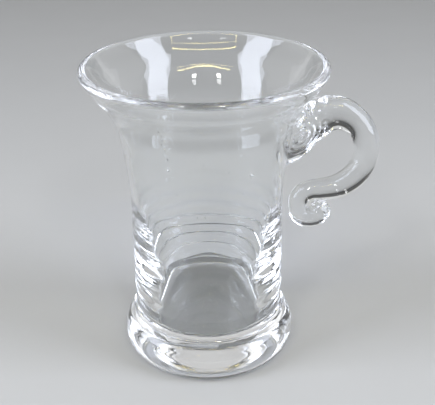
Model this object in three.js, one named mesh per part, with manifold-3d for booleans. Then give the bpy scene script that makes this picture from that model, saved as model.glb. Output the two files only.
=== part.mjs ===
// A blown glass mug: a trumpet-shaped bowl on a turned foot, with one applied finger handle.
// Millimetres. +Z is up along the turning axis, Z = 0 is the table, and the handle points along +X.
import * as THREE from "three";
import { mergeVertices } from "three/addons/utils/BufferGeometryUtils.js";
import Module from "manifold-3d";

// Heights, from the table up.
const MUG_HEIGHT = 124;
const FOOT_UNDER_BOWL = 8.5; // glass of the foot below the bowl's seat
const BOWL_SUNK = 10.2; // how deep the bowl's bottom sits in the foot
const BOWL_FLOOR = 7.2; // glass of the bowl between its seat and its inner floor

// Foot, all radii.
const FOOT_RADIUS = 36.2;
const FOOT_BELLY_HEIGHT = 7.4; // where the foot is widest
const FOOT_EDGE = 6.4; // how far the rounded lower edge draws in to the flat underside
const FOOT_LEDGE = 0.3; // step of the foot's shoulder outside its dish

// Outside of the bowl. Drops are measured down from the rim.
const BOWL_FOOT_RADIUS = 31.6;
const BARREL_RADIUS = 31.1;
const WAIST_RADIUS = 30.9;
const WAIST_DROP = 56;
const NECK_RADIUS = 33.2;
const NECK_DROP = 32.5;
const THROAT_RADIUS = 35;
const THROAT_DROP = 22.5;
const FLARE_RADIUS = 39;
const FLARE_DROP = 14.9;
const MOUTH_RADIUS = 43.6;
const MOUTH_DROP = 8.7;
const LIP_RADIUS = 47.7;
const LIP_BEAD = 1.7; // radius of the rounded lip

// Inside of the bowl.
const THIN_WALL = 2.9;
const THICK_WALL = 8.8;
const THICK_WALL_TOP = 9; // height above the inner floor up to which the wall is thickest
const FLOOR_CORNER = 2.4;
const SEAT_RADIUS = 22;

// Handle. Reaches are measured out from the waist's radius, and drops down from the rim.
const PAD_REACH = 2.9;
const PAD_DROP = 28.7;
const PAD_DEPTH = 23;
const PAD_WIDTH = 16;
const PAD_ROOT = 7.5; // how far the rod starts inward of the pad, inside the bowl's wall
const PAD_ROOT_DROP = 4; // how much lower it starts
const LOOP_REACH = 33.2; // centre of the rod where the loop is widest
const LOOP_DROP = 36.1;
const LOOP_TOP_REACH = 22.8;
const LOOP_TOP_DROP = 21.7;
const LOOP_BOTTOM_REACH = 15.8;
const LOOP_BOTTOM_DROP = 54.1;
const ROD_TOP_DEPTH = 12.8;
const ROD_DEPTH = 9.9;
const ROD_WIDTH = 10.4;
const SCROLL_REACH = 11.1; // centre of the scroll at the free end
const SCROLL_DROP = 62.3;
const SCROLL_FIRST_RADIUS = 7.9;
const SCROLL_LAST_RADIUS = 4.8;
const SCROLL_ROD = 7.5; // rod diameter on the way round
const KNOB = 8.6; // diameter of the rounded end
const SCROLL_START = 85; // degrees round the scroll's centre, where the loop runs into it
const SCROLL_SETTLED = 170;
const SCROLL_END = 343;

const FUSED_GAP = 0.3; // left between curved faces that the heat has joined

const LATHE_STEPS = 64;
const WALL_STEPS = 24;
const BEAD_STEPS = 9;
const CORNER_STEPS = 4;
const FOOT_EDGE_STEPS = 6;
const SHOULDER_STEPS = 8;
const ROD_SIDES = 20;
const ROD_STEPS = 26;
const SCROLL_STEPS = 16;
const CAP_STEPS = 4;

const creaseHeight = FOOT_UNDER_BOWL + BOWL_SUNK;
const floorHeight = FOOT_UNDER_BOWL + BOWL_FLOOR;
const waistHeight = MUG_HEIGHT - WAIST_DROP;

const point = (radius, height) => new THREE.Vector2(radius, height);
const mix = THREE.MathUtils.lerp;

// Points on a circular arc in the outline's plane, angles in degrees.
function arc(centre, radius, from, to, steps) {
  return Array.from({ length: steps + 1 }, (_, i) => {
    const angle = THREE.MathUtils.degToRad(mix(from, to, i / steps));
    return point(centre.x + radius * Math.cos(angle), centre.y + radius * Math.sin(angle));
  });
}

// Turns an outline of radius and height about the Z axis.
function turned(outline) {
  const geometry = new THREE.LatheGeometry(outline, LATHE_STEPS);
  geometry.rotateX(Math.PI / 2);
  return geometry;
}

// The bowl's outer wall from the foot to just under the lip.
function outerWall() {
  return new THREE.SplineCurve([
    point(BOWL_FOOT_RADIUS, creaseHeight),
    point(BARREL_RADIUS, (creaseHeight + waistHeight) / 2),
    point(WAIST_RADIUS, waistHeight),
    point(NECK_RADIUS, MUG_HEIGHT - NECK_DROP),
    point(THROAT_RADIUS, MUG_HEIGHT - THROAT_DROP),
    point(FLARE_RADIUS, MUG_HEIGHT - FLARE_DROP),
    point(MOUTH_RADIUS, MUG_HEIGHT - MOUTH_DROP),
  ]);
}

// Wall thickness at a height: thick at the floor, thinning evenly to the waist.
function wallAt(height) {
  const share = (height - floorHeight - THICK_WALL_TOP) / (waistHeight - floorHeight - THICK_WALL_TOP);
  return mix(THICK_WALL, THIN_WALL, THREE.MathUtils.clamp(share, 0, 1));
}

// The cavity's side, from the lip down to the rounded corner at the floor.
function innerWall(outer) {
  const corner = floorHeight + FLOOR_CORNER;
  const above = outer.filter((p) => p.y > corner + 1);
  const side = above.map((p) => point(p.x - wallAt(p.y), p.y)).reverse();
  const low = point(outer[0].x - THICK_WALL, corner);
  const bend = arc(point(low.x - FLOOR_CORNER, corner), FLOOR_CORNER, 0, -90, CORNER_STEPS);
  return [...side, ...bend];
}

function bowlGeometry() {
  const outer = outerWall().getPoints(WALL_STEPS);
  const centre = point(LIP_RADIUS - LIP_BEAD, MUG_HEIGHT - LIP_BEAD);
  return turned([
    point(0, FOOT_UNDER_BOWL),
    point(SEAT_RADIUS, FOOT_UNDER_BOWL),
    ...outer,
    ...arc(centre, LIP_BEAD, -20, 200, BEAD_STEPS),
    ...innerWall(outer),
    point(0, floorHeight),
  ]);
}

// The shallow dish in the foot follows the bowl's bottom at the fused gap.
function footDish() {
  const run = BOWL_FOOT_RADIUS - SEAT_RADIUS;
  const slope = Math.hypot(run, BOWL_SUNK);
  const seat = SEAT_RADIUS + (FUSED_GAP * slope) / BOWL_SUNK;
  return [point(seat + run, creaseHeight), point(seat, FOOT_UNDER_BOWL), point(0, FOOT_UNDER_BOWL)];
}

function footGeometry() {
  const flat = FOOT_RADIUS - FOOT_EDGE;
  const dish = footDish();
  const ledge = dish[0].x + FOOT_LEDGE;
  const edge = new THREE.QuadraticBezierCurve(
    point(flat, 0),
    point(FOOT_RADIUS, 0),
    point(FOOT_RADIUS, FOOT_BELLY_HEIGHT),
  );
  const shoulder = new THREE.CubicBezierCurve(
    point(FOOT_RADIUS, FOOT_BELLY_HEIGHT),
    point(FOOT_RADIUS, mix(FOOT_BELLY_HEIGHT, creaseHeight, 0.24)),
    point(mix(FOOT_RADIUS, ledge, 0.9), mix(FOOT_BELLY_HEIGHT, creaseHeight, 0.6)),
    point(ledge, creaseHeight),
  );
  return turned([
    point(0, 0),
    ...edge.getPoints(FOOT_EDGE_STEPS),
    ...shoulder.getPoints(SHOULDER_STEPS).slice(1),
    ...dish,
  ]);
}

// One station along the rod: its centre in the XZ plane, its depth in that plane and its width across.
function station(reach, drop, depth, width) {
  return { at: point(WAIST_RADIUS + reach, MUG_HEIGHT - drop), size: point(depth, width) };
}

// From inside the wall through the pad, over the top of the loop and round to its lower run.
function loopStations() {
  const topWidth = mix(ROD_WIDTH, PAD_WIDTH, 0.2);
  return [
    station(PAD_REACH - PAD_ROOT, PAD_DROP + PAD_ROOT_DROP, PAD_DEPTH, PAD_WIDTH),
    station(PAD_REACH, PAD_DROP, PAD_DEPTH, PAD_WIDTH),
    station(mix(PAD_REACH, LOOP_TOP_REACH, 0.35), mix(PAD_DROP, LOOP_TOP_DROP, 0.5),
      mix(PAD_DEPTH, ROD_TOP_DEPTH, 0.64), mix(PAD_WIDTH, ROD_WIDTH, 0.5)),
    station(mix(PAD_REACH, LOOP_TOP_REACH, 0.675), LOOP_TOP_DROP,
      mix(PAD_DEPTH, ROD_TOP_DEPTH, 0.8), topWidth),
    station(LOOP_TOP_REACH, LOOP_TOP_DROP, ROD_TOP_DEPTH, topWidth),
    station(mix(LOOP_TOP_REACH, LOOP_REACH, 0.68), mix(LOOP_TOP_DROP, LOOP_DROP, 0.36),
      mix(ROD_TOP_DEPTH, ROD_DEPTH, 0.75), ROD_WIDTH),
    station(LOOP_REACH, LOOP_DROP, ROD_DEPTH, ROD_WIDTH),
    station(mix(LOOP_REACH, LOOP_BOTTOM_REACH, 0.15), mix(LOOP_DROP, LOOP_BOTTOM_DROP, 0.53),
      ROD_DEPTH, ROD_WIDTH),
    station(mix(LOOP_REACH, LOOP_BOTTOM_REACH, 0.55), mix(LOOP_DROP, LOOP_BOTTOM_DROP, 0.9),
      ROD_DEPTH, ROD_WIDTH),
    station(LOOP_BOTTOM_REACH, LOOP_BOTTOM_DROP, mix(ROD_DEPTH, SCROLL_ROD, 0.4),
      mix(ROD_WIDTH, SCROLL_ROD, 0.4)),
  ];
}

// The scroll draws in to its last radius over the first part of its turn, then runs round at it.
function scrollStations() {
  const drawing = [0, 1 / 3, 2 / 3].map((share) => mix(SCROLL_START, SCROLL_SETTLED, share));
  const running = [0, 0.25, 0.5, 0.75, 1].map((share) => mix(SCROLL_SETTLED, SCROLL_END, share));
  return [...drawing, ...running].map((degrees) => {
    const angle = THREE.MathUtils.degToRad(degrees);
    const drawnIn = Math.min((degrees - SCROLL_START) / (SCROLL_SETTLED - SCROLL_START), 1);
    const swell = THREE.MathUtils.smoothstep(degrees, SCROLL_SETTLED, SCROLL_END);
    const radius = mix(SCROLL_FIRST_RADIUS, SCROLL_LAST_RADIUS, drawnIn);
    const rod = mix(mix(SCROLL_ROD + 1, SCROLL_ROD, drawnIn), KNOB, swell);
    return station(SCROLL_REACH + radius * Math.cos(angle), SCROLL_DROP - radius * Math.sin(angle), rod, rod);
  });
}

// Sections of the rod: centre, the direction of its depth, half depth and half width.
function rodSections() {
  const stations = [...loopStations(), ...scrollStations()];
  const path = new THREE.SplineCurve(stations.map((s) => s.at));
  const sizes = new THREE.SplineCurve(stations.map((s) => s.size));
  const steps = ROD_STEPS + SCROLL_STEPS;
  const sections = Array.from({ length: steps + 1 }, (_, i) => {
    const along = path.getTangent(i / steps);
    const size = sizes.getPoint(i / steps);
    return { at: path.getPoint(i / steps), along, depth: size.x / 2, width: size.y / 2 };
  });
  const end = sections[steps];
  for (let i = 1; i <= CAP_STEPS; i += 1) {
    const angle = (i / (CAP_STEPS + 1)) * (Math.PI / 2);
    const at = end.at.clone().addScaledVector(end.along, end.depth * Math.sin(angle));
    const shrink = Math.cos(angle);
    sections.push({ at, along: end.along, depth: end.depth * shrink, width: end.width * shrink });
  }
  const pole = end.at.clone().addScaledVector(end.along, end.depth);
  return { sections, pole };
}

function rodGeometry() {
  const { sections, pole } = rodSections();
  const positions = [];
  for (const { at, along, depth, width } of sections) {
    for (let j = 0; j < ROD_SIDES; j += 1) {
      const angle = (j / ROD_SIDES) * Math.PI * 2;
      const out = depth * Math.cos(angle);
      positions.push(at.x - along.y * out, width * Math.sin(angle), at.y + along.x * out);
    }
  }
  const rootCentre = sections.length * ROD_SIDES;
  positions.push(sections[0].at.x, 0, sections[0].at.y);
  positions.push(pole.x, 0, pole.y);
  const faces = [];
  for (let j = 0; j < ROD_SIDES; j += 1) {
    const next = (j + 1) % ROD_SIDES;
    for (let i = 0; i < sections.length - 1; i += 1) {
      const a = i * ROD_SIDES;
      const b = a + ROD_SIDES;
      faces.push(a + j, b + j, a + next, a + next, b + j, b + next);
    }
    const tip = rootCentre - ROD_SIDES;
    faces.push(rootCentre, j, next, rootCentre + 1, tip + next, tip + j);
  }
  const geometry = new THREE.BufferGeometry();
  geometry.setAttribute("position", new THREE.Float32BufferAttribute(positions, 3));
  geometry.setIndex(faces);
  return geometry;
}

const wasm = await Module();
wasm.setup();

// A closed geometry as a solid that can be cut.
function solid(geometry) {
  const bare = geometry.clone();
  bare.deleteAttribute("normal");
  bare.deleteAttribute("uv");
  const merged = mergeVertices(bare, 1e-4);
  const index = Array.from(merged.index.array);
  const triangles = [];
  for (let i = 0; i < index.length; i += 3) {
    const [a, b, c] = index.slice(i, i + 3);
    if (a !== b && b !== c && c !== a) triangles.push(a, b, c);
  }
  return new wasm.Manifold(new wasm.Mesh({
    numProp: 3,
    vertProperties: new Float32Array(merged.attributes.position.array),
    triVerts: new Uint32Array(triangles),
  }));
}

function geometryOf(body) {
  const mesh = body.getMesh();
  const geometry = new THREE.BufferGeometry();
  geometry.setAttribute("position", new THREE.Float32BufferAttribute(mesh.vertProperties, 3));
  geometry.setIndex(Array.from(mesh.triVerts));
  geometry.computeVertexNormals();
  return geometry;
}

// What the handle is cut to: the bowl's outside, filled and grown by the fused gap.
function bowlEnvelope() {
  const wall = outerWall().getPoints(WALL_STEPS).map((p) => point(p.x + FUSED_GAP, p.y));
  const lip = point(LIP_RADIUS + FUSED_GAP, MUG_HEIGHT - LIP_BEAD);
  return turned([point(0, creaseHeight), ...wall, lip, point(lip.x, MUG_HEIGHT), point(0, MUG_HEIGHT)]);
}

function handleGeometry() {
  return geometryOf(solid(rodGeometry()).subtract(solid(bowlEnvelope())));
}

function glass(name, geometry) {
  const material = new THREE.MeshStandardMaterial({ color: 0xe9eeec, roughness: 0.03, metalness: 0 });
  const mesh = new THREE.Mesh(geometry, material);
  mesh.name = name;
  return mesh;
}

const mug = new THREE.Group();
mug.add(glass("bowl", bowlGeometry()));
mug.add(glass("foot", footGeometry()));
mug.add(glass("handle", handleGeometry()));

export default mug;
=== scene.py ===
"""Looks of a clear blown glass mug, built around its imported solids.

The mug is three gathers of glass fused while hot: a trumpet-shaped bowl, a turned foot and a drawn
handle. Each is a closed mesh of its own. Where two of them are fused, both keep the same face and
that face lets light straight through, so the glass looks like one body with its joint line outside.
"""

import logging
import math
from collections.abc import Callable, Iterable, Sequence
from dataclasses import dataclass
from enum import Enum
from typing import Any, NamedTuple

import bmesh
import bpy
import numpy as np
from mathutils import Matrix, Vector


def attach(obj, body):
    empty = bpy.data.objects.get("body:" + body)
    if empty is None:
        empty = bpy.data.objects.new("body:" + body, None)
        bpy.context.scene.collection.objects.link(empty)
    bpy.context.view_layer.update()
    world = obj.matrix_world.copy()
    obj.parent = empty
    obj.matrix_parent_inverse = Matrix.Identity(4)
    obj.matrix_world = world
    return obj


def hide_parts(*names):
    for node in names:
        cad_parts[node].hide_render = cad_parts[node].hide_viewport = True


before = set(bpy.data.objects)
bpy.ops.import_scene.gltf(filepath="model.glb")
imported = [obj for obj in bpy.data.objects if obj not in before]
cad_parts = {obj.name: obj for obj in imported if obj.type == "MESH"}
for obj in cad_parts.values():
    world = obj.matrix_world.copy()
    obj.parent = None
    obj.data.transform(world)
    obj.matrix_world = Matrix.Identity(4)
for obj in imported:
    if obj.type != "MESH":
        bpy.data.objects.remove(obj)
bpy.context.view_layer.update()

LOG = logging.getLogger("glass_mug")
MM = 0.001
IMAGE_WIDTH = 435  # pixels across the picture, which the camera's focal length is given in
ROOT = "root"
CURVE_CUTS = 40  # fine cuts between two points of a smooth line
TOUCHING = 0.01  # millimetres within which two points of an outline are one
WELD = 0.002  # millimetres within which two corners of a mesh are joined
GLASS_BOUNCES = 96
SEAM_CROSSINGS = 64

Points = np.ndarray


class Side(Enum):
    """Which material slot of a piece a face takes."""

    GLASS = 0
    SEAM = 1


class Join(Enum):
    """What happens to two closed meshes, by Blender's name for it."""

    FUSE = "UNION"
    TRIM = "DIFFERENCE"


class Light(Enum):
    """What a softbox does in the studio."""

    PANEL = "panel"
    BACK = "back"
    FILL = "fill"
    SPOT = "spot"
    STRIP = "strip"


def linear(hex_colour: str) -> tuple[float, float, float, float]:
    """Turns an sRGB hex colour into the linear one that shaders use.

    Args:
        hex_colour: Six hex digits with or without a leading #.

    Returns:
        Linear red, green, blue and an alpha of 1.
    """
    digits = hex_colour.lstrip("#")
    channels = [int(digits[i : i + 2], 16) / 255 for i in (0, 2, 4)]
    curved = [c / 12.92 if c <= 0.04045 else ((c + 0.055) / 1.055) ** 2.4 for c in channels]
    return (curved[0], curved[1], curved[2], 1.0)


def new_material(name: str) -> bpy.types.Material:
    """Makes a material with an empty node tree.

    Args:
        name: Its name.

    Returns:
        The material.
    """
    material = bpy.data.materials.new(name)
    material.use_nodes = True
    material.node_tree.nodes.clear()
    return material


def add_node(
    tree: bpy.types.NodeTree,
    kind: str,
    settings: dict[str, Any] | None = None,
    links: dict[str, bpy.types.NodeSocket] | None = None,
) -> bpy.types.Node:
    """Adds a shader node.

    Args:
        tree: The node tree that it goes into.
        kind: The node's type name.
        settings: Values by input socket name, or by property name with a leading dot.
        links: Output sockets by the name of the input that they feed.

    Returns:
        The new node.
    """
    node = tree.nodes.new(kind)
    for name, value in (settings or {}).items():
        if name.startswith("."):
            setattr(node, name[1:], value)
        else:
            node.inputs[name].default_value = value
    for name, socket in (links or {}).items():
        tree.links.new(socket, node.inputs[name])
    return node


def smooth_line(points: Sequence[Sequence[float]], step: float) -> Points:
    """Draws one smooth line through points and cuts it into even steps.

    Args:
        points: What the line passes through, two numbers or more each.
        step: Length of a step, in the units of the points.

    Returns:
        The points of the line, both ends included.
    """
    through = np.asarray(points, float)
    knots = np.concatenate([[0.0], np.cumsum(np.linalg.norm(np.diff(through, axis=0), axis=1) ** 0.5)])
    padded = np.vstack([2 * through[0] - through[1], through, 2 * through[-1] - through[-2]])
    times = np.concatenate([[2 * knots[0] - knots[1]], knots, [2 * knots[-1] - knots[-2]]])
    pieces = []
    for i in range(1, len(padded) - 2):
        t0, t1, t2, t3 = times[i - 1 : i + 3]
        p0, p1, p2, p3 = padded[i - 1 : i + 3]
        t = np.linspace(t1, t2, CURVE_CUTS, endpoint=False)[:, None]
        a1 = (t1 - t) / (t1 - t0) * p0 + (t - t0) / (t1 - t0) * p1
        a2 = (t2 - t) / (t2 - t1) * p1 + (t - t1) / (t2 - t1) * p2
        a3 = (t3 - t) / (t3 - t2) * p2 + (t - t2) / (t3 - t2) * p3
        b1 = (t2 - t) / (t2 - t0) * a1 + (t - t0) / (t2 - t0) * a2
        b2 = (t3 - t) / (t3 - t1) * a2 + (t - t1) / (t3 - t1) * a3
        pieces.append((t2 - t) / (t2 - t1) * b1 + (t - t1) / (t2 - t1) * b2)
    fine = np.vstack([*pieces, through[-1:]])
    return even_steps(fine, step)


def even_steps(line: Points, step: float) -> Points:
    """Cuts a broken line into steps of the same length.

    Args:
        line: Its points.
        step: The wanted length of a step.

    Returns:
        Points along it, both ends included.
    """
    lengths = np.linalg.norm(np.diff(line[:, :2], axis=0), axis=1)
    along = np.concatenate([[0.0], np.cumsum(lengths)])
    count = max(2, round(along[-1] / step) + 1)
    at = np.linspace(0, along[-1], count)
    return np.stack([np.interp(at, along, line[:, k]) for k in range(line.shape[1])], axis=1)


def arc(centre: tuple[float, float], radius: float, first: float, last: float, steps: int) -> Points:
    """Points on a circular arc.

    Args:
        centre: Its centre.
        radius: Its radius.
        first: Angle that it starts at, in degrees.
        last: Angle that it ends at, in degrees.
        steps: How many steps it is cut into.

    Returns:
        The points, both ends included.
    """
    angles = np.radians(np.linspace(first, last, steps + 1))
    return np.stack([centre[0] + radius * np.cos(angles), centre[1] + radius * np.sin(angles)], axis=1)


def distances(line: Points) -> Points:
    """Returns how far along a line of points each one lies, as a column."""
    steps = np.linalg.norm(np.diff(line[:, :2], axis=0), axis=1)
    return np.concatenate([[0.0], np.cumsum(steps)])[:, None]


def joined(*lines: Points) -> Points:
    """Puts lines end to end and leaves out points that lie on the one before.

    Args:
        lines: The points of each line.

    Returns:
        The points of the whole.
    """
    points = np.vstack(lines)
    apart = np.linalg.norm(np.diff(points, axis=0), axis=1) > TOUCHING
    return points[np.concatenate([[True], apart])]


def add_object(name: str, data: bpy.types.ID) -> bpy.types.Object:
    """Makes an object and links it to the scene.

    Args:
        name: Its name.
        data: Its mesh, light or camera.

    Returns:
        The object.
    """
    thing = bpy.data.objects.new(name, data)
    bpy.context.scene.collection.objects.link(thing)
    return thing


def new_mesh_object(
    name: str, corners: Points, faces: Iterable[Sequence[int]], sides: Sequence[int] | None = None
) -> bpy.types.Object:
    """Makes a mesh object from millimetres.

    Args:
        name: Name of the object and its mesh.
        corners: Its corners, in millimetres.
        faces: The corners of each face.
        sides: The material slot of each face, or None where all take the first.

    Returns:
        The object, linked to the scene.
    """
    mesh = bpy.data.meshes.new(name)
    mesh.from_pydata((corners * MM).tolist(), [], [list(f) for f in faces])
    if sides is not None:
        mesh.polygons.foreach_set("material_index", np.asarray(sides, np.int32))
    mesh.update()
    return add_object(name, mesh)


def turned(
    name: str,
    outline: Points,
    sectors: int,
    wave: Callable[[Points, Points], Points] | None = None,
    seam_until: int = 0,
) -> bpy.types.Object:
    """Turns an outline about the Z axis into a closed mesh.

    Args:
        name: Name of the object.
        outline: Radius and height, from the axis out and back to the axis, with the glass on its left.
        sectors: How many faces go round.
        wave: Gives how far each point moves along the outline's normal, from the outline's points
            and the angles, or None where the turning is true.
        seam_until: The outline's first steps that are a fused seam.

    Returns:
        The object.
    """
    ring = outline[1:-1]
    angles = np.arange(sectors) * (2 * math.pi / sectors)
    along = np.gradient(ring, axis=0)
    along /= np.linalg.norm(along, axis=1)[:, None]
    normal = np.stack([along[:, 1], -along[:, 0]], axis=1)
    move = wave(ring, angles) if wave else np.zeros((len(ring), sectors))
    radius = ring[:, :1] + normal[:, :1] * move
    height = ring[:, 1:] + normal[:, 1:] * move
    shell = np.stack([radius * np.cos(angles), radius * np.sin(angles), height + 0 * radius], axis=2)
    first = [0.0, 0.0, outline[0, 1]]
    last = [0.0, 0.0, outline[-1, 1]]
    corners = np.vstack([first, shell.reshape(-1, 3), last])
    faces: list[tuple[int, ...]] = []
    sides: list[int] = []
    top = len(corners) - 1
    for i in range(len(ring) + 1):
        side = Side.SEAM if i < seam_until else Side.GLASS
        for j in range(sectors):
            k = (j + 1) % sectors
            low = 1 + (i - 1) * sectors
            high = low + sectors
            if i == 0:
                faces.append((0, high + k, high + j))
            elif i == len(ring):
                faces.append((low + j, low + k, top))
            else:
                faces.append((low + j, low + k, high + k, high + j))
            sides.append(side.value)
    return new_mesh_object(name, corners, faces, sides)


def combined(name: str, body: bpy.types.Object, tool: bpy.types.Object, how: Join) -> bpy.types.Object:
    """Fuses two closed meshes, or trims one by the other.

    Args:
        name: Name of the result.
        body: What is fused or trimmed.
        tool: What it is fused with or trimmed by.
        how: Which of the two.

    Returns:
        A new object. Faces keep the material slot that they had.
    """
    boolean = body.modifiers.new(how.value, "BOOLEAN")
    boolean.object = tool
    boolean.operation = how.value
    boolean.solver = "MANIFOLD"
    bpy.context.view_layer.update()
    graph = bpy.context.evaluated_depsgraph_get()
    mesh = bpy.data.meshes.new_from_object(body.evaluated_get(graph))
    body.modifiers.remove(boolean)
    mesh.name = name
    return add_object(name, mesh)


def polish(piece: bpy.types.Object, sharp_degrees: float = 35.0) -> None:
    """Shades a piece smooth but for its real edges.

    Args:
        piece: What is shaded.
        sharp_degrees: How far its faces turn at a real edge.
    """
    piece.data.polygons.foreach_set("use_smooth", [True] * len(piece.data.polygons))
    piece.data.set_sharp_from_angle(angle=math.radians(sharp_degrees))
    piece.data.update()


def discard(*pieces: bpy.types.Object) -> None:
    """Removes helper objects and their meshes.

    Args:
        pieces: The helpers.
    """
    for piece in pieces:
        mesh = piece.data
        bpy.data.objects.remove(piece)
        bpy.data.meshes.remove(mesh)


@dataclass(frozen=True)
class SodaLimeGlass:
    """Clear soda-lime glass with a fire-polished skin, which the three finishes below share.

    The flame leaves no scratch, so the skin is mirror smooth. Only slow cords in the melt and a faint
    ripple in the skin bend what is seen through it.
    """

    name: str
    tint: str = "#FCFDFD"  # as good as clear, and a shade cooler for its iron
    ior: float = 1.52
    roughness: float = 0.0
    cord_width: float = 9.0  # millimetres between cords in the melt
    cord_stretch: tuple[float, float, float] = (1.0, 1.0, 1.0)
    cord_depth: float = 0.004  # millimetres
    skin_width: float = 2.6  # millimetres between ripples of the skin
    skin_depth: float = 0.0003

    def material(self) -> bpy.types.Material:
        """Builds the shader.

        Returns:
            Clear glass with two sizes of slow ripple.
        """
        material = new_material(self.name)
        tree = material.node_tree
        place = add_node(tree, "ShaderNodeTexCoord")
        drawn = add_node(
            tree,
            "ShaderNodeMapping",
            {"Scale": self.cord_stretch},
            {"Vector": place.outputs["Object"]},
        )
        cords = add_node(
            tree,
            "ShaderNodeTexNoise",
            {"Scale": 1 / (self.cord_width * MM), "Detail": 1.0, "Roughness": 0.4},
            {"Vector": drawn.outputs["Vector"]},
        )
        skin = add_node(
            tree,
            "ShaderNodeTexNoise",
            {"Scale": 1 / (self.skin_width * MM), "Detail": 0.0},
            {"Vector": place.outputs["Object"]},
        )
        fine = add_node(
            tree,
            "ShaderNodeBump",
            {"Strength": 1.0, "Distance": self.skin_depth * MM},
            {"Height": skin.outputs["Fac"]},
        )
        slow = add_node(
            tree,
            "ShaderNodeBump",
            {"Strength": 1.0, "Distance": self.cord_depth * MM},
            {"Height": cords.outputs["Fac"], "Normal": fine.outputs["Normal"]},
        )
        glass = add_node(
            tree,
            "ShaderNodeBsdfPrincipled",
            {
                "Base Color": linear(self.tint),
                "Roughness": self.roughness,
                "IOR": self.ior,
                "Transmission Weight": 1.0,
            },
            {"Normal": slow.outputs["Normal"]},
        )
        add_node(tree, "ShaderNodeOutputMaterial", links={"Surface": glass.outputs["BSDF"]})
        return material


@dataclass(frozen=True)
class BlownGlass(SodaLimeGlass):
    """Glass blown on the iron: turning it laid the cords round the wall, so the eye sees through a
    clear wall in which straight things shiver a little in level bands."""

    name: str = "blown_glass"
    cord_stretch: tuple[float, float, float] = (1.0, 1.0, 2.4)


@dataclass(frozen=True)
class TurnedGlass(SodaLimeGlass):
    """Glass turned hot against a wooden jack: its cords are finer and lie round it, so the thick foot
    has a bright and slightly watery depth."""

    name: str = "turned_glass"
    cord_width: float = 8.0
    cord_stretch: tuple[float, float, float] = (1.0, 1.0, 2.4)


@dataclass(frozen=True)
class DrawnGlass(SodaLimeGlass):
    """A rod drawn out of the gather: pulling it evened out its cords, so its skin is the smoothest of
    the three and its highlights run on without a break."""

    name: str = "drawn_glass"
    cord_width: float = 7.0
    cord_depth: float = 0.003
    skin_depth: float = 0.0002


@dataclass(frozen=True)
class FusedSeam:
    """The face where two hot gathers have run together: glass meets glass, so light crosses it
    without bending and nothing of it shows."""

    name: str = "fused_seam"

    def material(self) -> bpy.types.Material:
        """Builds the shader.

        Returns:
            A face that only lets light through.
        """
        material = new_material(self.name)
        tree = material.node_tree
        clear = add_node(tree, "ShaderNodeBsdfTransparent", {"Color": (1.0, 1.0, 1.0, 1.0)})
        add_node(tree, "ShaderNodeOutputMaterial", links={"Surface": clear.outputs["BSDF"]})
        return material


@dataclass(frozen=True)
class SprayedBoard:
    """Board sprayed with matt emulsion: an even pale grey with hardly any sheen."""

    name: str = "sprayed_board"
    colour: str = "#BFBFBD"
    mottle: str = "#BBBBB9"
    mottle_size: float = 60.0  # millimetres
    roughness: float = 0.62
    sheen: float = 0.3

    def material(self) -> bpy.types.Material:
        """Builds the shader.

        Returns:
            A pale paint with the faintest mottling.
        """
        material = new_material(self.name)
        tree = material.node_tree
        place = add_node(tree, "ShaderNodeTexCoord")
        cloud = add_node(
            tree,
            "ShaderNodeTexNoise",
            {"Scale": 1 / (self.mottle_size * MM), "Detail": 3.0},
            {"Vector": place.outputs["Object"]},
        )
        paint = add_node(
            tree,
            "ShaderNodeMix",
            {".data_type": "RGBA", "A": linear(self.colour), "B": linear(self.mottle)},
            {"Factor": cloud.outputs["Fac"]},
        )
        board = add_node(
            tree,
            "ShaderNodeBsdfPrincipled",
            {"Roughness": self.roughness, "Specular IOR Level": self.sheen},
            {"Base Color": paint.outputs["Result"]},
        )
        add_node(tree, "ShaderNodeOutputMaterial", links={"Surface": board.outputs["BSDF"]})
        return material


class Seed(NamedTuple):
    """A bubble of air caught in the wall, in millimetres and degrees."""

    bearing: float
    height: float
    depth: float  # share of the wall's thickness, from its outside
    length: float
    width: float


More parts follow.
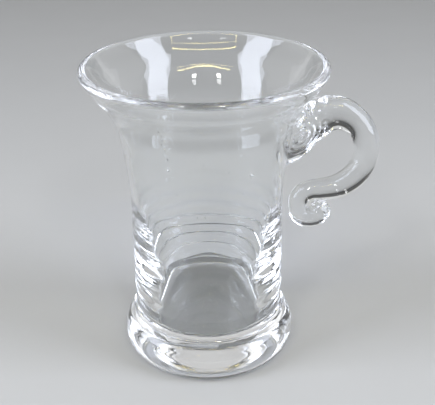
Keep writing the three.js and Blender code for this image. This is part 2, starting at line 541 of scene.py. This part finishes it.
@dataclass
class Foot:
    """The turned disc under the bowl, with rounded shoulders and a shallow hollow underneath."""

    under_bowl: float = 8.5
    crease: tuple[float, float] = (31.5, 18.0)
    seat_radius: float = 22.0
    flat_radius: float = 29.8
    lift: float = 0.05  # keeps its underside clear of the floor's surface
    hollow: float = 1.2  # how far the middle of the underside is drawn up
    hollow_radius: float = 27.5
    hollow_points: int = 24
    groove: float = 0.7  # depth of the fold where it meets the bowl
    uneven: float = 0.02  # how far hand turning leaves the shoulder out of round
    uneven_from: float = 1.5  # height above which it does
    uneven_fades: tuple[float, float] = (4.0, 3.0)  # lengths over which that comes in and dies away
    lobes: int = 2  # how many times round it is high
    lobe_turn: float = 0.7  # radians
    sectors: int = 192
    step: float = 0.25
    flat_step: float = 2.0
    flank_step: float = 1.0
    seat_slack: float = 0.02  # how near to the seat a face lies that is part of it
    shoulder: tuple[tuple[float, float], ...] = (
        (32.6, 0.55),
        (34.7, 2.1),
        (35.9, 4.5),
        (36.2, 7.4),
        (35.8, 10.2),
        (34.7, 13.2),
        (33.3, 15.9),
    )
    fold: tuple[tuple[float, float], ...] = (  # radius, and distance below the fold's top
        (32.75, 1.1),
        (32.5, 0.35),
        (32.1, 0.0),
        (31.75, 0.25),
    )

    def seat(self) -> Points:
        """Draws the fused seat.

        Returns:
            Its radii and heights, from the axis out to the crease.
        """
        edge = (self.seat_radius, self.under_bowl)
        flat = even_steps(np.array([(0.0, self.under_bowl), edge]), self.flat_step)
        flank = even_steps(np.array([edge, self.crease]), self.flank_step)
        return joined(flat, flank)

    def outline(self) -> Points:
        """Draws the skin.

        Returns:
            Its radii and heights, from the middle of the underside out and up to the crease.
        """
        reach = np.linspace(0.0, self.hollow_radius, self.hollow_points)
        drawn_up = self.hollow * (1 - (reach / self.hollow_radius) ** 2)
        under = np.stack([reach, self.lift + drawn_up], axis=1)
        rim = self.crease[1] + self.groove
        fold = [(radius, rim - drop) for radius, drop in self.fold]
        side = smooth_line([(self.flat_radius, self.lift), *self.shoulder, *fold, self.crease], self.step)
        return joined(under, side)

    def wave(self, ring: Points, angles: Points) -> Points:
        """Gives the slight unevenness that hand turning leaves on the shoulder.

        Args:
            ring: Radius and height of the outline's points.
            angles: The angles round it.

        Returns:
            How far each point moves out, in millimetres.
        """
        rise, fall = self.uneven_fades
        on_side = np.clip((ring[:, 1] - self.uneven_from) / rise, 0, 1)
        on_side *= np.clip((self.crease[1] - ring[:, 1]) / fall, 0, 1)
        return on_side[:, None] * (self.uneven * np.sin(self.lobes * angles + self.lobe_turn))[None, :]

    def build(self) -> bpy.types.Object:
        """Builds the closed foot.

        Returns:
            The foot, shaded, with its seat in the seam's slot.
        """
        skin = self.outline()
        seat = self.seat()[::-1]
        piece = turned("foot_glass", joined(skin, seat), self.sectors, self.wave)
        self.mark_seat(piece)
        polish(piece)
        return piece

    def mark_seat(self, piece: bpy.types.Object) -> None:
        """Gives the faces of the fused seat the seam's slot.

        Args:
            piece: The foot.
        """
        for face in piece.data.polygons:
            centre = face.center / MM
            radius = math.hypot(centre.x, centre.y)
            flank = (radius - self.seat_radius) / (self.crease[0] - self.seat_radius)
            level = self.under_bowl + max(0.0, flank) * (self.crease[1] - self.under_bowl)
            if radius < self.crease[0] and abs(centre.z - level) < self.seat_slack:
                face.material_index = Side.SEAM.value

    def dress(self, piece: bpy.types.Object, glass: bpy.types.Material, seam: bpy.types.Material) -> None:
        """Gives the foot its materials and its place in the frame.

        Args:
            piece: The foot.
            glass: The finish of its skin.
            seam: The finish of its fused faces.
        """
        piece.data.materials.append(glass)
        piece.data.materials.append(seam)
        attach(piece, ROOT)
        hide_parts("foot")


@dataclass
class Bowl:
    """The blown body: a thick-walled beaker with a flared mouth, waved wall and solid floor."""

    foot: Foot
    height: float = 124.0
    lip_radius: float = 47.7
    lip_bead: float = 1.7
    bead_turn: tuple[float, float] = (-30.0, 150.0)  # degrees between which the lip's bead is round
    bead_steps: int = 20
    floor_height: float = 15.6
    floor_corner: float = 3.0
    corner_steps: int = 8
    floor_step: float = 1.5
    cavity_radius: float = 23.0
    wave_pitch: float = 6.95
    wave_crest: float = 24.3  # height of the lowest crest at the back
    wave_rise: tuple[float, float] = (20.0, 25.0)  # heights between which the waves come in
    wave_fade: tuple[float, float] = (60.0, 82.0)  # and between which they die away
    inner_wave: float = 0.06
    outer_wave: float = 0.09
    outer_lead: float = 0.2  # share of the pitch by which the outer waves run ahead
    wall_middle: float = 29.5  # radius that parts the waved wall's outside from its inside
    lean: float = 0.5  # radians of a wave by which the crests lean
    lean_turn: float = 0.6  # radians round to where they lean
    wander: float = 0.3  # radians of a wave by which they wander up and down
    wanders: int = 3  # how many times round
    front_calm: float = 0.85  # share of the waves that is missing at the front
    back_gain: float = 4.5  # how much stronger they are low down at the back
    back_fade: tuple[float, float] = (38.0, 61.0)  # heights between which that dies away
    sectors: int = 224
    step: float = 0.6
    core_foot: tuple[float, float] = (31.3, 40.0)  # where the core that trims the handle's root starts
    core_from: float = 50.0  # height above which that core follows the wall
    core_step: float = 1.0
    outer: tuple[tuple[float, float], ...] = (  # radius and height, from the crease up
        (31.22, 18.6),
        (31.2, 20.0),
        (31.1, 30.0),
        (31.1, 43.4),
        (31.0, 56.0),
        (30.9, 68.0),
        (31.7, 80.0),
        (33.2, 91.5),
        (35.0, 101.5),
        (39.0, 109.1),
        (43.6, 115.3),
        (46.5, 119.6),
    )
    inner: tuple[tuple[float, float], ...] = (  # and from the lip down
        (43.2, 121.0),
        (40.8, 117.2),
        (39.0, 114.9),
        (37.0, 112.3),
        (35.0, 109.4),
        (33.3, 106.2),
        (31.9, 102.0),
        (30.4, 93.5),
        (29.0, 80.0),
        (28.3, 70.0),
        (27.2, 60.0),
        (26.2, 51.0),
        (25.1, 44.0),
        (24.2, 38.0),
        (23.6, 32.0),
        (23.15, 26.0),
        (23.0, 21.0),
    )

    def skin(self) -> Points:
        """Draws the skin.

        Returns:
            Its radii and heights, from the crease up over the lip and down to the cavity's floor.
        """
        bead_centre = (self.lip_radius - self.lip_bead, self.height - self.lip_bead)
        bead = arc(bead_centre, self.lip_bead, *self.bead_turn, self.bead_steps)
        outside = smooth_line([self.foot.crease, *self.outer, tuple(bead[0])], self.step)
        inside = smooth_line([tuple(bead[-1]), *self.inner], self.step)
        corner_radius = self.cavity_radius - self.floor_corner
        corner_height = self.floor_height + self.floor_corner
        corner = arc((corner_radius, corner_height), self.floor_corner, 0, -90, self.corner_steps)
        floor = np.array([[corner_radius, self.floor_height], [0.0, self.floor_height]])
        floor = even_steps(floor, self.floor_step)
        return joined(outside, bead, inside, corner, floor)

    def wave(self, ring: Points, angles: Points) -> Points:
        """Gives the soft horizontal waves that the blowing left in the lower wall.

        Their crests lie at wave_crest and every pitch above it at the back, and drift a little up and
        down on the way round.

        Args:
            ring: Radius and height of the outline's points.
            angles: The angles round it.

        Returns:
            How far each point moves out of the glass, in millimetres.
        """
        radius, height = ring[:, 0], ring[:, 1]
        outside = radius > self.wall_middle
        rise = np.interp(height, self.wave_rise, (0.0, 1.0)) * np.interp(height, self.wave_fade, (1.0, 0.0))
        depth = np.where(outside, self.outer_wave, self.inner_wave) * rise
        drift = self.lean * (np.sin(angles + self.lean_turn) - math.sin(math.pi / 2 + self.lean_turn))
        drift += self.wander * (np.sin(self.wanders * angles) + 1)
        turns = (height - self.wave_crest) / self.wave_pitch + np.where(outside, self.outer_lead, 0.0)
        phase = 2 * math.pi * turns[:, None] + drift[None, :]
        front, back = 0.5 - 0.5 * np.sin(angles), 0.5 + 0.5 * np.sin(angles)
        low = self.back_gain * np.interp(height, self.back_fade, (1.0, 0.0))
        strength = 1 - self.front_calm * front[None, :] ** 2 + low[:, None] * back[None, :] ** 4
        return depth[:, None] * strength * np.cos(phase)

    def build(self) -> bpy.types.Object:
        """Builds the closed bowl.

        Returns:
            The bowl as it is before the handle is fused to it.
        """
        seat = self.foot.seat()
        outline = joined(seat, self.skin())
        return turned("bowl_turned", outline, self.sectors, self.wave, seam_until=len(seat) - 1)

    def core(self, inset: float) -> bpy.types.Object:
        """Builds what the handle's root is trimmed by, so that it ends inside the wall.

        Args:
            inset: How far under the wall's outside it ends.

        Returns:
            A closed helper object.
        """
        above = [point for point in self.outer if point[1] > self.core_from]
        wall = smooth_line([self.core_foot, *above], self.core_step)
        shrunk = wall - np.array([inset, 0.0])
        outline = joined(np.array([[0.0, wall[0, 1]]]), shrunk, np.array([[0.0, wall[-1, 1]]]))
        return turned("bowl_core", outline, self.sectors)

    def dress(self, piece: bpy.types.Object, glass: bpy.types.Material, seam: bpy.types.Material) -> None:
        """Gives the bowl its materials and its place in the frame.

        Args:
            piece: The bowl.
            glass: The finish of its skin.
            seam: The finish of its fused faces.
        """
        piece.data.materials.append(glass)
        piece.data.materials.append(seam)
        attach(piece, ROOT)
        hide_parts("bowl")


@dataclass
class Seeds:
    """Bubbles of air that the gather closed round: long ones drawn up the wall, and fine round ones."""

    bowl: Bowl
    placed: tuple[Seed, ...] = (
        Seed(-115.0, 93.2, 0.5, 2.0, 0.75),
        Seed(-114.6, 97.4, 0.5, 0.9, 0.45),
        Seed(-115.6, 101.4, 0.5, 1.6, 0.5),
        Seed(-116.2, 104.0, 0.4, 0.8, 0.5),
        Seed(-115.2, 106.4, 0.5, 1.5, 0.45),
        Seed(-114.4, 108.6, 0.5, 0.7, 0.5),
        Seed(-114.9, 110.4, 0.5, 1.2, 0.4),
        Seed(-59.4, 89.6, 0.5, 1.1, 0.9),
        Seed(-58.2, 89.1, 0.5, 0.7, 1.3),
        Seed(-58.9, 88.2, 0.6, 0.5, 0.5),
        Seed(-64.5, 82.0, 0.5, 0.6, 0.45),
        Seed(-97.0, 73.5, 0.5, 0.6, 0.45),
        Seed(-91.5, 73.6, 0.5, 0.7, 0.45),
        Seed(-110.6, 82.7, 0.5, 0.5, 0.4),
    )
    strewn: int = 34
    strewn_heights: tuple[float, float] = (30.0, 108.0)
    strewn_depths: tuple[float, float] = (0.3, 0.7)
    strewn_lengths: tuple[float, float] = (0.3, 0.6)
    strewn_widths: tuple[float, float] = (0.22, 0.36)
    flatness: float = 0.9  # how thick one is through the wall, as a share of its width
    seed: int = 11
    rings: int = 8
    segments: int = 12

    def all(self) -> list[Seed]:
        """Lists every bubble.

        Returns:
            The placed ones and the fine ones strewn through the wall.
        """
        dice = np.random.default_rng(self.seed)
        fine = [
            Seed(
                float(dice.uniform(-180, 180)),
                float(dice.uniform(*self.strewn_heights)),
                float(dice.uniform(*self.strewn_depths)),
                float(dice.uniform(*self.strewn_lengths)),
                float(dice.uniform(*self.strewn_widths)),
            )
            for _ in range(self.strewn)
        ]
        return [*self.placed, *fine]

    def place(self, seed: Seed) -> tuple[Vector, Vector, Vector, Vector]:
        """Finds where a bubble lies in the wall.

        Args:
            seed: The bubble.

        Returns:
            Its centre, in millimetres, and its axes out of, along and up the wall.
        """
        outer = np.array([self.bowl.foot.crease, *self.bowl.outer])
        inner = np.array(self.bowl.inner[::-1])
        outside = float(np.interp(seed.height, outer[:, 1], outer[:, 0]))
        inside = float(np.interp(seed.height, inner[:, 1], inner[:, 0]))
        rise = 2.0
        lean = float(np.interp(seed.height + rise, outer[:, 1], outer[:, 0])) - outside
        bearing = math.radians(seed.bearing)
        radial = Vector((math.cos(bearing), math.sin(bearing), 0.0))
        upward = (radial * lean + Vector((0.0, 0.0, rise))).normalized()
        across = upward.cross(radial).normalized()
        out = across.cross(upward)
        radius = outside - (outside - inside) * seed.depth
        return radial * radius + Vector((0.0, 0.0, seed.height)), out, across, upward

    def skin(self, seed: Seed) -> Points:
        """Draws one bubble's skin.

        Args:
            seed: The bubble.

        Returns:
            Its corners, from the lower pole to the upper one.
        """
        centre, out, across, upward = (np.array(v) for v in self.place(seed))
        corners = [centre - upward * seed.length / 2]
        for i in range(1, self.rings):
            tilt = math.pi * i / self.rings
            for j in range(self.segments):
                turn = 2 * math.pi * j / self.segments
                flat = out * math.cos(turn) * self.flatness + across * math.sin(turn)
                side = flat * seed.width / 2 * math.sin(tilt)
                corners.append(centre + side - upward * seed.length / 2 * math.cos(tilt))
        corners.append(centre + upward * seed.length / 2)
        return np.array(corners)

    def build(self) -> bpy.types.Object:
        """Builds all the bubbles.

        Returns:
            One object, whose skins face into the air.
        """
        skins = [self.skin(seed) for seed in self.all()]
        faces: list[tuple[int, ...]] = []
        for n in range(len(skins)):
            low = n * len(skins[0])
            top = low + len(skins[0]) - 1
            for j in range(self.segments):
                k = (j + 1) % self.segments
                faces.append((low, low + 1 + j, low + 1 + k))
                faces.append((top, top - self.segments + k, top - self.segments + j))
                for i in range(self.rings - 2):
                    a = low + 1 + i * self.segments
                    b = a + self.segments
                    faces.append((a + j, b + j, b + k, a + k))
        return new_mesh_object("seeds", np.vstack(skins), faces)


class Station(NamedTuple):
    """One place along the rod: its centre in the XZ plane, its depth there and its width across."""

    x: float
    z: float
    depth: float
    width: float


class Fold(NamedTuple):
    """A soft fold round the pad, where the hot rod was pressed on."""

    place: float  # millimetres along the rod
    reach: float
    depth: float
    lean: float  # how much further along it lies on one side than on the other
    turn: float  # degrees round the rod to the side where it lies furthest along


class Whorl(NamedTuple):
    """Rings in the pad's skin, left by turning the hot rod as it was pressed on."""

    x: float  # their middle
    z: float
    pitch: float  # from ring to ring
    reach: float  # how far out they die away
    depth: float


class ShearMark(NamedTuple):
    """One wave of the crumpled end, where the hot rod was sheared off."""

    waves: float  # per millimetre along the rod
    turns: float  # round the rod
    phase: float
    depth: float


@dataclass
class Handle:
    """The drawn rod: a flattened pad on the bowl, a finger loop and a curled, cut-off tail."""

    loop: tuple[Station, ...] = (
        Station(26.3, 91.3, 23.0, 16.0),
        Station(33.8, 95.3, 23.0, 16.0),
        Station(40.8, 98.8, 16.5, 13.2),
        Station(47.2, 102.3, 14.8, 11.5),
        Station(53.7, 102.3, 12.8, 11.5),
        Station(60.8, 97.1, 10.7, 10.6),
        Station(64.1, 87.9, 9.9, 10.4),
        Station(61.5, 78.3, 9.9, 10.4),
        Station(54.5, 71.7, 9.9, 10.4),
        Station(46.7, 69.9, 8.9, 9.2),
    )
    scroll_x: float = 42.0  # the middle of the curl
    scroll_z: float = 61.7
    scroll_first: float = 7.9  # radius that the curl starts with
    scroll_last: float = 4.8  # and the one that it tightens to
    scroll_rod: float = 7.5  # thickness of the rod where it is thinnest
    scroll_extra: float = 1.0  # how much thicker the rod comes into the curl
    scroll_turns: tuple[float, ...] = (85.0, 113.0, 142.0, 170.0, 213.0, 256.0, 300.0, 343.0)  # degrees
    tightens: tuple[float, float] = (85.0, 170.0)  # where the curl tightens and the rod thins
    swells: tuple[float, float] = (170.0, 343.0)  # where the rod swells to the knob
    knob: float = 8.6
    sunk: float = 1.3  # how deep its root ends under the wall's outside
    folds: tuple[Fold, ...] = (Fold(10.5, 2.4, -0.12, 2.5, 60.0),)
    whorls: tuple[Whorl, ...] = (Whorl(37.4, 95.7, 1.6, 6.4, 0.34), Whorl(45.5, 100.6, 1.6, 3.0, 0.18))
    whorl_slant: float = 50.0  # degrees from level that the rings are drawn out along
    whorl_stretch: float = 1.7
    whorl_hold: int = 4  # how closely they keep to the pad's two sides
    shear_marks: tuple[ShearMark, ...] = (
        ShearMark(0.30, 2.0, 0.4, 0.24),
        ShearMark(0.52, -3.0, 1.9, 0.18),
        ShearMark(0.17, 5.0, 3.1, 0.14),
        ShearMark(0.75, 1.0, 4.4, 0.10),
    )
    shear_reach: float = 7.0  # length of the tail that they mark
    cap_steps: int = 11
    sides: int = 176
    step: float = 0.3

    def scroll(self) -> list[Station]:
        """Draws the curled tail.

        Returns:
            The stations round it.
        """
        stations = []
        for degrees in self.scroll_turns:
            angle = math.radians(degrees)
            drawn_in = float(np.interp(degrees, self.tightens, (0.0, 1.0)))
            share = float(np.interp(degrees, self.swells, (0.0, 1.0)))
            swell = share * share * (3 - 2 * share)
            radius = self.scroll_first + (self.scroll_last - self.scroll_first) * drawn_in
            rod = self.scroll_rod + self.scroll_extra * (1 - drawn_in)
            rod += (self.knob - rod) * swell
            x = self.scroll_x + radius * math.cos(angle)
            z = self.scroll_z + radius * math.sin(angle)
            stations.append(Station(x, z, rod, rod))
        return stations

    def build(self) -> bpy.types.Object:
        """Builds the whole rod.

        Returns:
            The closed rod, with its root still inside the bowl's wall.
        """
        line = smooth_line([*self.loop, *self.scroll()], self.step)
        along = np.gradient(line[:, :2], axis=0)
        along /= np.linalg.norm(along, axis=1)[:, None]
        cap = np.linspace(0, math.pi / 2, self.cap_steps + 1)[1:-1]
        end, heading = line[-1], along[-1]
        reach = end[2] / 2
        capped = [
            [*(end[:2] + heading * reach * math.sin(a)), end[2] * math.cos(a), end[3] * math.cos(a)]
            for a in cap
        ]
        line = np.vstack([line, capped])
        along = np.vstack([along, np.repeat(heading[None, :], len(capped), axis=0)])
        angles = np.arange(self.sides) * (2 * math.pi / self.sides)
        moved = self.pressed(line, angles) + self.sheared(line, angles)
        x = line[:, :1] - along[:, 1:] * (line[:, 2:3] / 2 * np.cos(angles))
        z = line[:, 1:2] + along[:, :1] * (line[:, 2:3] / 2 * np.cos(angles))
        moved += self.swirled(x, z) * np.sin(angles) ** self.whorl_hold
        out = (line[:, 2:3] / 2 + moved) * np.cos(angles)
        across = (line[:, 3:4] / 2 + moved) * np.sin(angles)
        rings = np.stack(
            [line[:, :1] - along[:, 1:] * out, across, line[:, 1:2] + along[:, :1] * out], axis=2
        )
        pole = [end[0] + heading[0] * reach, 0.0, end[1] + heading[1] * reach]
        root = [line[0, 0], 0.0, line[0, 1]]
        corners = np.vstack([rings.reshape(-1, 3), root, pole])
        return new_mesh_object("handle_rod", corners, self.faces(len(line)))

    def pressed(self, line: Points, angles: Points) -> Points:
        """Gives the soft folds that pressing the hot rod on the wall left round the pad.

        Args:
            line: The stations along the rod.
            angles: The angles round it.

        Returns:
            How far each point moves out, in millimetres.
        """
        moved = np.zeros((len(line), len(angles)))
        for fold in self.folds:
            centre = fold.place + fold.lean * np.cos(angles - math.radians(fold.turn))[None, :]
            moved += fold.depth * np.exp(-(((distances(line) - centre) / fold.reach) ** 2))
        return moved

    def sheared(self, line: Points, angles: Points) -> Points:
        """Gives the crumpling of the cut end.

        Args:
            line: The stations along the rod.
            angles: The angles round it.

        Returns:
            How far each point moves out, in millimetres.
        """
        from_end = distances(line)[-1] - distances(line)
        near = np.clip(1 - from_end / self.shear_reach, 0, 1) ** 0.5
        marked = near * np.clip(line[:, 2:3] / self.knob, 0, 1)
        moved = np.zeros((len(line), len(angles)))
        for mark in self.shear_marks:
            wave = 2 * math.pi * mark.waves * from_end + mark.turns * angles[None, :] + mark.phase
            moved += marked * mark.depth * np.sin(wave)
        return moved

    def swirled(self, x: Points, z: Points) -> Points:
        """Gives the whorls in the pad's skin.

        Args:
            x: Where the points are along X.
            z: How high they are.

        Returns:
            How far each point moves out, in millimetres.
        """
        slant = math.radians(self.whorl_slant)
        moved = np.zeros_like(x)
        for whorl in self.whorls:
            level, upright = x - whorl.x, z - whorl.z
            run = (level * math.cos(slant) + upright * math.sin(slant)) / self.whorl_stretch
            rise = upright * math.cos(slant) - level * math.sin(slant)
            away = np.hypot(run, rise)
            rings = np.cos(2 * math.pi * away / whorl.pitch)
            moved += whorl.depth * rings * np.exp(-((away / whorl.reach) ** 2))
        return moved

    def faces(self, rings: int) -> list[tuple[int, ...]]:
        """Returns the faces of the rod, its flat root and its rounded tip.

        Args:
            rings: How many rings of corners it has.

        Returns:
            The corners of each face.
        """
        found: list[tuple[int, ...]] = []
        root = rings * self.sides
        tip = (rings - 1) * self.sides
        for j in range(self.sides):
            k = (j + 1) % self.sides
            for i in range(rings - 1):
                a, b = i * self.sides, (i + 1) * self.sides
                found.append((a + j, b + j, b + k, a + k))
            found.append((root, j, k))
            found.append((root + 1, tip + k, tip + j))
        return found

    def dress(self, piece: bpy.types.Object, glass: bpy.types.Material, seam: bpy.types.Material) -> None:
        """Gives the handle its materials and its place in the frame.

        Args:
            piece: The handle.
            glass: The finish of its skin.
            seam: The finish of its fused faces.
        """
        piece.data.materials.append(glass)
        piece.data.materials.append(seam)
        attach(piece, ROOT)
        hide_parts("handle")


class Softbox(NamedTuple):
    """A rectangular softbox, in metres and watts."""

    kind: Light
    place: tuple[float, float, float]
    size: tuple[float, float]
    watts: float
    colour: str = "#FFFFFF"
    aim: tuple[float, float, float] = (0.0, 0.0, 0.06)

    def mirrored(self) -> "Softbox":
        """Returns the same softbox on the other side of the mug."""
        place, aim = self.place, self.aim
        return self._replace(place=(-place[0], place[1], place[2]), aim=(-aim[0], aim[1], aim[2]))


@dataclass
class Studio:
    """A pale board to stand on, soft lamps and a dim room."""

    floor_half: float = 3.0
    room: float = 0.07
    side_panel: Softbox = Softbox(
        Light.PANEL, (0.709, -0.244, 0.76), (0.42, 1.4), 11.3, "#EAF0FF", aim=(0.0, 0.0, 0.76)
    )
    side_fill: Softbox = Softbox(Light.FILL, (0.97, 0.52, 0.74), (1.0, 0.9), 1.3)
    others: tuple[Softbox, ...] = (
        Softbox(Light.BACK, (0.0, 1.25, 1.05), (3.2, 1.2), 6.7),
        Softbox(Light.SPOT, (0.169, -0.589, 0.624), (0.06, 0.10), 0.8),
        Softbox(Light.SPOT, (-0.230, -0.568, 0.624), (0.06, 0.10), 0.8),
        Softbox(Light.STRIP, (0.0, -0.5, 0.86), (0.92, 0.016), 1.25, "#FFEE9C", aim=(0.0, 0.0, 0.12)),
    )

    def floor(self) -> bpy.types.Object:
        """Builds the board.

        Returns:
            The floor that the mug stands on.
        """
        half = self.floor_half / MM
        corners = np.array([[-half, -half, 0], [half, -half, 0], [half, half, 0], [-half, half, 0]], float)
        board = new_mesh_object("floor", corners, [(0, 1, 2, 3)])
        board.data.materials.append(SprayedBoard().material())
        return board

    def lamp(self, box: Softbox) -> bpy.types.Object:
        """Adds one softbox.

        Args:
            box: What it is and where it stands.

        Returns:
            The lamp.
        """
        light = bpy.data.lights.new(box.kind.value, "AREA")
        light.shape = "RECTANGLE"
        light.size, light.size_y = box.size
        light.energy = box.watts
        light.color = linear(box.colour)[:3]
        lamp = add_object(box.kind.value, light)
        lamp.location = box.place
        lamp.rotation_euler = (Vector(box.aim) - Vector(box.place)).to_track_quat("-Z", "Y").to_euler()
        return lamp

    def light(self) -> None:
        """Adds the lamps and the room's own light."""
        sides = (self.side_panel, self.side_fill)
        for box in (*sides, *(box.mirrored() for box in sides), *self.others):
            self.lamp(box)
        world = bpy.data.worlds.new("room")
        bpy.context.scene.world = world
        world.use_nodes = True
        backdrop = world.node_tree.nodes["Background"]
        backdrop.inputs["Color"].default_value = linear("#FFFFFF")
        backdrop.inputs["Strength"].default_value = self.room


@dataclass
class PhotoCamera:
    """The camera at the photograph's viewing angle, in millimetres, degrees and pixels."""

    focal: float = 815.0
    pitch: float = 26.54
    yaw: float = 0.83
    roll: float = -0.73
    distance: float = 299.2
    height: float = 214.1
    sensor: float = 36.0

    def place(self) -> bpy.types.Object:
        """Creates the camera and makes it the scene's own.

        Returns:
            The camera.
        """
        pitch, yaw, roll = (math.radians(a) for a in (self.pitch, self.yaw, self.roll))
        forward = Vector(
            (math.sin(yaw) * math.cos(pitch), math.cos(yaw) * math.cos(pitch), -math.sin(pitch))
        )
        level = forward.cross(Vector((0, 0, 1))).normalized()
        upright = level.cross(forward)
        right = level * math.cos(roll) + upright * math.sin(roll)
        up = upright * math.cos(roll) - level * math.sin(roll)
        data = bpy.data.cameras.new("camera")
        data.sensor_fit = "HORIZONTAL"
        data.sensor_width = self.sensor
        data.lens = self.focal / IMAGE_WIDTH * self.sensor
        camera = add_object("camera", data)
        stand = (0.0, -self.distance * MM, self.height * MM)
        rows = [(right[i], up[i], -forward[i], stand[i]) for i in range(3)]
        camera.matrix_world = Matrix((*rows, (0, 0, 0, 1)))
        bpy.context.scene.camera = camera
        return camera


class Taken(NamedTuple):
    """Faces that are taken over from a mesh when pieces are assembled."""

    source: bpy.types.Object
    slots: set[int]  # material slots of the faces that are taken
    side: Side  # what they become
    turned_over: bool = False


def fuse(
    bowl: bpy.types.Object, rod: bpy.types.Object, core: bpy.types.Object, seeds: bpy.types.Object
) -> tuple[bpy.types.Object, bpy.types.Object]:
    """Fuses the handle's rod to the bowl, as two closed pieces that share the fused face.

    Args:
        bowl: The closed bowl.
        rod: The closed rod, with its root inside the bowl's wall.
        core: What the root is trimmed by first.
        seeds: The bubbles in the bowl's wall.

    Returns:
        The bowl and the handle.
    """
    glass_slot, seam_slot, rod_slot = range(3)
    give_slot(rod, rod_slot)
    for slot_name in ("glass", "seam", "rod"):
        stand_in = bpy.data.materials.new(slot_name)
        for piece in (bowl, rod, core):
            piece.data.materials.append(stand_in)
    trimmed = combined("rod_trimmed", rod, core, Join.TRIM)
    give_slot(trimmed, rod_slot)
    whole = combined("whole", bowl, trimmed, Join.FUSE)
    free = combined("free_rod", trimmed, bowl, Join.TRIM)
    on_bowl = {glass_slot, seam_slot}
    handle = assembled(
        "handle_glass", [Taken(free, {rod_slot}, Side.GLASS), Taken(free, on_bowl, Side.SEAM)]
    )
    body = assembled(
        "bowl_glass",
        [
            Taken(whole, {glass_slot}, Side.GLASS),
            Taken(whole, {seam_slot}, Side.SEAM),
            Taken(free, on_bowl, Side.SEAM, turned_over=True),
            Taken(seeds, {glass_slot}, Side.GLASS),
        ],
    )
    discard(trimmed, whole, free)
    return body, handle


def give_slot(piece: bpy.types.Object, slot: int) -> None:
    """Gives every face of a piece one material slot."""
    piece.data.polygons.foreach_set("material_index", [slot] * len(piece.data.polygons))


def assembled(name: str, parts: Sequence[Taken]) -> bpy.types.Object:
    """Puts chosen faces of several meshes together into one.

    Args:
        name: Name of the result.
        parts: The faces that are taken.

    Returns:
        The new object, with corners that lie on each other joined.
    """
    build = bmesh.new()
    for part in parts:
        corners: dict[int, bmesh.types.BMVert] = {}
        mesh = part.source.data
        for face in mesh.polygons:
            if face.material_index not in part.slots:
                continue
            loop = []
            for index in face.vertices:
                if index not in corners:
                    corners[index] = build.verts.new(mesh.vertices[index].co)
                loop.append(corners[index])
            made = build.faces.new(loop[::-1] if part.turned_over else loop)
            made.material_index = part.side.value
    bmesh.ops.remove_doubles(build, verts=build.verts, dist=WELD * MM)
    open_edges = [e for e in build.edges if len(e.link_faces) != 2]
    LOG.info("%s: %d faces, %d open edges", name, len(build.faces), len(open_edges))
    mesh = bpy.data.meshes.new(name)
    build.to_mesh(mesh)
    build.free()
    return add_object(name, mesh)


def follow_light() -> None:
    """Lets light bounce often enough to find its way through the thick glass."""
    cycles = bpy.context.scene.cycles
    cycles.max_bounces = GLASS_BOUNCES
    cycles.transmission_bounces = GLASS_BOUNCES
    cycles.glossy_bounces = GLASS_BOUNCES
    cycles.transparent_max_bounces = SEAM_CROSSINGS


def main() -> None:
    """Builds the mug and its studio."""
    logging.basicConfig(level=logging.INFO, format="%(name)s: %(message)s")
    view = bpy.context.scene.view_settings
    view.view_transform = "Standard"
    follow_light()
    PhotoCamera().place()
    studio = Studio()
    studio.floor()
    studio.light()
    seam = FusedSeam().material()
    foot = Foot()
    foot_piece = foot.build()
    foot.dress(foot_piece, TurnedGlass().material(), seam)
    LOG.info("foot: %d faces", len(foot_piece.data.polygons))
    bowl = Bowl(foot)
    handle = Handle()
    gathers = [bowl.build(), handle.build(), bowl.core(inset=handle.sunk), Seeds(bowl).build()]
    body, grip = fuse(*gathers)
    discard(*gathers)
    polish(body)
    polish(grip)
    bowl.dress(body, BlownGlass().material(), seam)
    handle.dress(grip, DrawnGlass().material(), seam)
    LOG.info("bowl: %d faces, handle: %d faces", len(body.data.polygons), len(grip.data.polygons))


if __name__ == "__main__":
    main()
